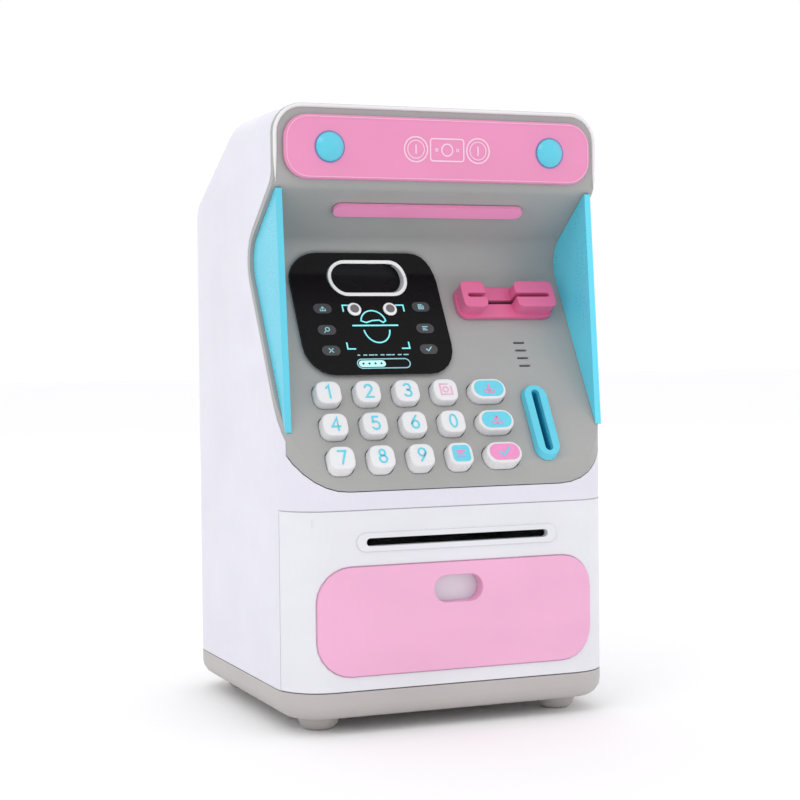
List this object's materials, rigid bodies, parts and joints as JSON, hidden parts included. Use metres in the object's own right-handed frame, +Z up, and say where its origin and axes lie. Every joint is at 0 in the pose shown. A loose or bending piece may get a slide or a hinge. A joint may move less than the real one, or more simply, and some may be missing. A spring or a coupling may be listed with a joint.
{
  "type": "toy savings bank",
  "caption": "Toy savings bank shaped like a cash machine: white body, grey keypad recess under a hood, note and coin inlets, scanner panel and a hinged front door.",
  "frame": {"origin": "on the table, below the middle of the object's bounding box", "axes": "+Z up, the front with its keypad faces -Y, +X to the viewer's right"},
  "size_m": [0.13, 0.1326, 0.228],
  "materials": {
    "shell_white": "moulded satin",
    "door_white": "moulded satin",
    "fascia_grey": "moulded satin",
    "tray_grey": "moulded satin",
    "panel_pink": "moulded satin",
    "sign_pink": "moulded satin",
    "inlet_pink": "moulded satin",
    "cyan": "moulded gloss",
    "key_white": "moulded satin",
    "display_black": "gloss black",
    "lens_black": "smoked gloss",
    "board_green": "coated laminate",
    "rubber_dark": "matte",
    "steel": "bright",
    "battery_jacket": "printed film over the can",
    "brass": "cut"
  },
  "bodies": {
    "housing": {"body_shell": "shell_white", "battery_cover": "shell_white", "front_fascia": "fascia_grey", "base_tray": "tray_grey", "foot_front_left": "tray_grey", "foot_front_right": "tray_grey", "foot_rear_left": "tray_grey", "foot_rear_right": "tray_grey", "deck": "tray_grey", "battery_box": "tray_grey", "feed_frame": "tray_grey", "sign_panel": "sign_pink", "ceiling_light_bar": "sign_pink", "note_inlet": "inlet_pink", "sign_lamp_left": "cyan", "sign_lamp_right": "cyan", "wing_left": "cyan", "wing_right": "cyan", "coin_slot_bezel": "cyan", "window_bezel": "key_white", "eye_led_left": "key_white", "eye_led_right": "key_white", "keypad_membrane": "key_white", "display_panel": "display_black", "note_chute": "display_black", "coin_chute": "display_black", "window_lens": "lens_black", "keypad_board": "board_green", "hinge_rod": "steel", "latch_solenoid": "steel", "speaker": "steel", "battery_cover_screw": "steel", "feed_motor": "steel", "battery_1": "battery_jacket", "battery_2": "battery_jacket", "battery_3": "battery_jacket"},
    "door": {"door": "door_white", "door_plate": "panel_pink"},
    "latch bolt": {"latch_bolt": "steel"},
    "power slider": {"power_switch": "rubber_dark"},
    "note drive": {"drive_shaft": "steel", "drive_roller": "rubber_dark", "drive_gear": "key_white"},
    "idler": {"idler_roller": "rubber_dark"},
    "pinion": {"motor_pinion": "brass"},
    "key 0": {"key_0": "key_white"},
    "key 1": {"key_1": "key_white"},
    "key 2": {"key_2": "key_white"},
    "key 3": {"key_3": "key_white"},
    "key 4": {"key_4": "key_white"},
    "key 5": {"key_5": "key_white"},
    "key 6": {"key_6": "key_white"},
    "key 7": {"key_7": "key_white"},
    "key 8": {"key_8": "key_white"},
    "key 9": {"key_9": "key_white"},
    "key menu": {"key_menu": "key_white"},
    "key info": {"key_info": "key_white"},
    "key deposit": {"key_deposit": "key_white"},
    "key withdraw": {"key_withdraw": "key_white"},
    "key enter": {"key_enter": "key_white"}
  },
  "joints": [
    {"name": "door_hinge", "type": "hinge", "parent": "housing", "child": "door", "pos_m": [0.0594, -0.04031, 0.04875], "axis": [0, 0, 1], "range_deg": [0, 90]},
    {"name": "latch_slide", "type": "slide", "parent": "housing", "child": "latch bolt", "axis": [0, 0, 1], "range_m": [-0.005, 0]},
    {"name": "power_slide", "type": "slide", "parent": "housing", "child": "power slider", "axis": [1, 0, 0], "range_m": [0, 0.006]},
    {"name": "drive_spin", "type": "hinge", "parent": "housing", "child": "note drive", "pos_m": [0.035, -0.0194, 0.1451], "axis": [1, 0, 0], "continuous": true},
    {"name": "idler_spin", "type": "hinge", "parent": "housing", "child": "idler", "pos_m": [0.035, -0.01451, 0.1534], "axis": [1, 0, 0], "continuous": true},
    {"name": "pinion_spin", "type": "hinge", "parent": "housing", "child": "pinion", "pos_m": [0.0108, -0.01341, 0.1347], "axis": [1, 0, 0], "continuous": true},
    {"name": "key_0_press", "type": "slide", "parent": "housing", "child": "key 0", "axis": [0, 0.8615, -0.5077], "range_m": [0, 0.0015], "stiffness_N_per_m": 250, "springref_m": -0.001},
    {"name": "key_1_press", "type": "slide", "parent": "housing", "child": "key 1", "axis": [0, 0.8615, -0.5077], "range_m": [0, 0.0015], "stiffness_N_per_m": 250, "springref_m": -0.001},
    {"name": "key_2_press", "type": "slide", "parent": "housing", "child": "key 2", "axis": [0, 0.8615, -0.5077], "range_m": [0, 0.0015], "stiffness_N_per_m": 250, "springref_m": -0.001},
    {"name": "key_3_press", "type": "slide", "parent": "housing", "child": "key 3", "axis": [0, 0.8615, -0.5077], "range_m": [0, 0.0015], "stiffness_N_per_m": 250, "springref_m": -0.001},
    {"name": "key_4_press", "type": "slide", "parent": "housing", "child": "key 4", "axis": [0, 0.8615, -0.5077], "range_m": [0, 0.0015], "stiffness_N_per_m": 250, "springref_m": -0.001},
    {"name": "key_5_press", "type": "slide", "parent": "housing", "child": "key 5", "axis": [0, 0.8615, -0.5077], "range_m": [0, 0.0015], "stiffness_N_per_m": 250, "springref_m": -0.001},
    {"name": "key_6_press", "type": "slide", "parent": "housing", "child": "key 6", "axis": [0, 0.8615, -0.5077], "range_m": [0, 0.0015], "stiffness_N_per_m": 250, "springref_m": -0.001},
    {"name": "key_7_press", "type": "slide", "parent": "housing", "child": "key 7", "axis": [0, 0.8615, -0.5077], "range_m": [0, 0.0015], "stiffness_N_per_m": 250, "springref_m": -0.001},
    {"name": "key_8_press", "type": "slide", "parent": "housing", "child": "key 8", "axis": [0, 0.8615, -0.5077], "range_m": [0, 0.0015], "stiffness_N_per_m": 250, "springref_m": -0.001},
    {"name": "key_9_press", "type": "slide", "parent": "housing", "child": "key 9", "axis": [0, 0.8615, -0.5077], "range_m": [0, 0.0015], "stiffness_N_per_m": 250, "springref_m": -0.001},
    {"name": "key_menu_press", "type": "slide", "parent": "housing", "child": "key menu", "axis": [0, 0.8615, -0.5077], "range_m": [0, 0.0015], "stiffness_N_per_m": 250, "springref_m": -0.001},
    {"name": "key_info_press", "type": "slide", "parent": "housing", "child": "key info", "axis": [0, 0.8615, -0.5077], "range_m": [0, 0.0015], "stiffness_N_per_m": 250, "springref_m": -0.001},
    {"name": "key_deposit_press", "type": "slide", "parent": "housing", "child": "key deposit", "axis": [0, 0.8615, -0.5077], "range_m": [0, 0.0015], "stiffness_N_per_m": 250, "springref_m": -0.001},
    {"name": "key_withdraw_press", "type": "slide", "parent": "housing", "child": "key withdraw", "axis": [0, 0.8615, -0.5077], "range_m": [0, 0.0015], "stiffness_N_per_m": 250, "springref_m": -0.001},
    {"name": "key_enter_press", "type": "slide", "parent": "housing", "child": "key enter", "axis": [0, 0.8615, -0.5077], "range_m": [0, 0.0015], "stiffness_N_per_m": 250, "springref_m": -0.001}
  ],
  "couplings": [
    {"joint": "idler_spin", "follows": "drive_spin", "ratio": -1},
    {"joint": "pinion_spin", "follows": "drive_spin", "ratio": -3}
  ]
}
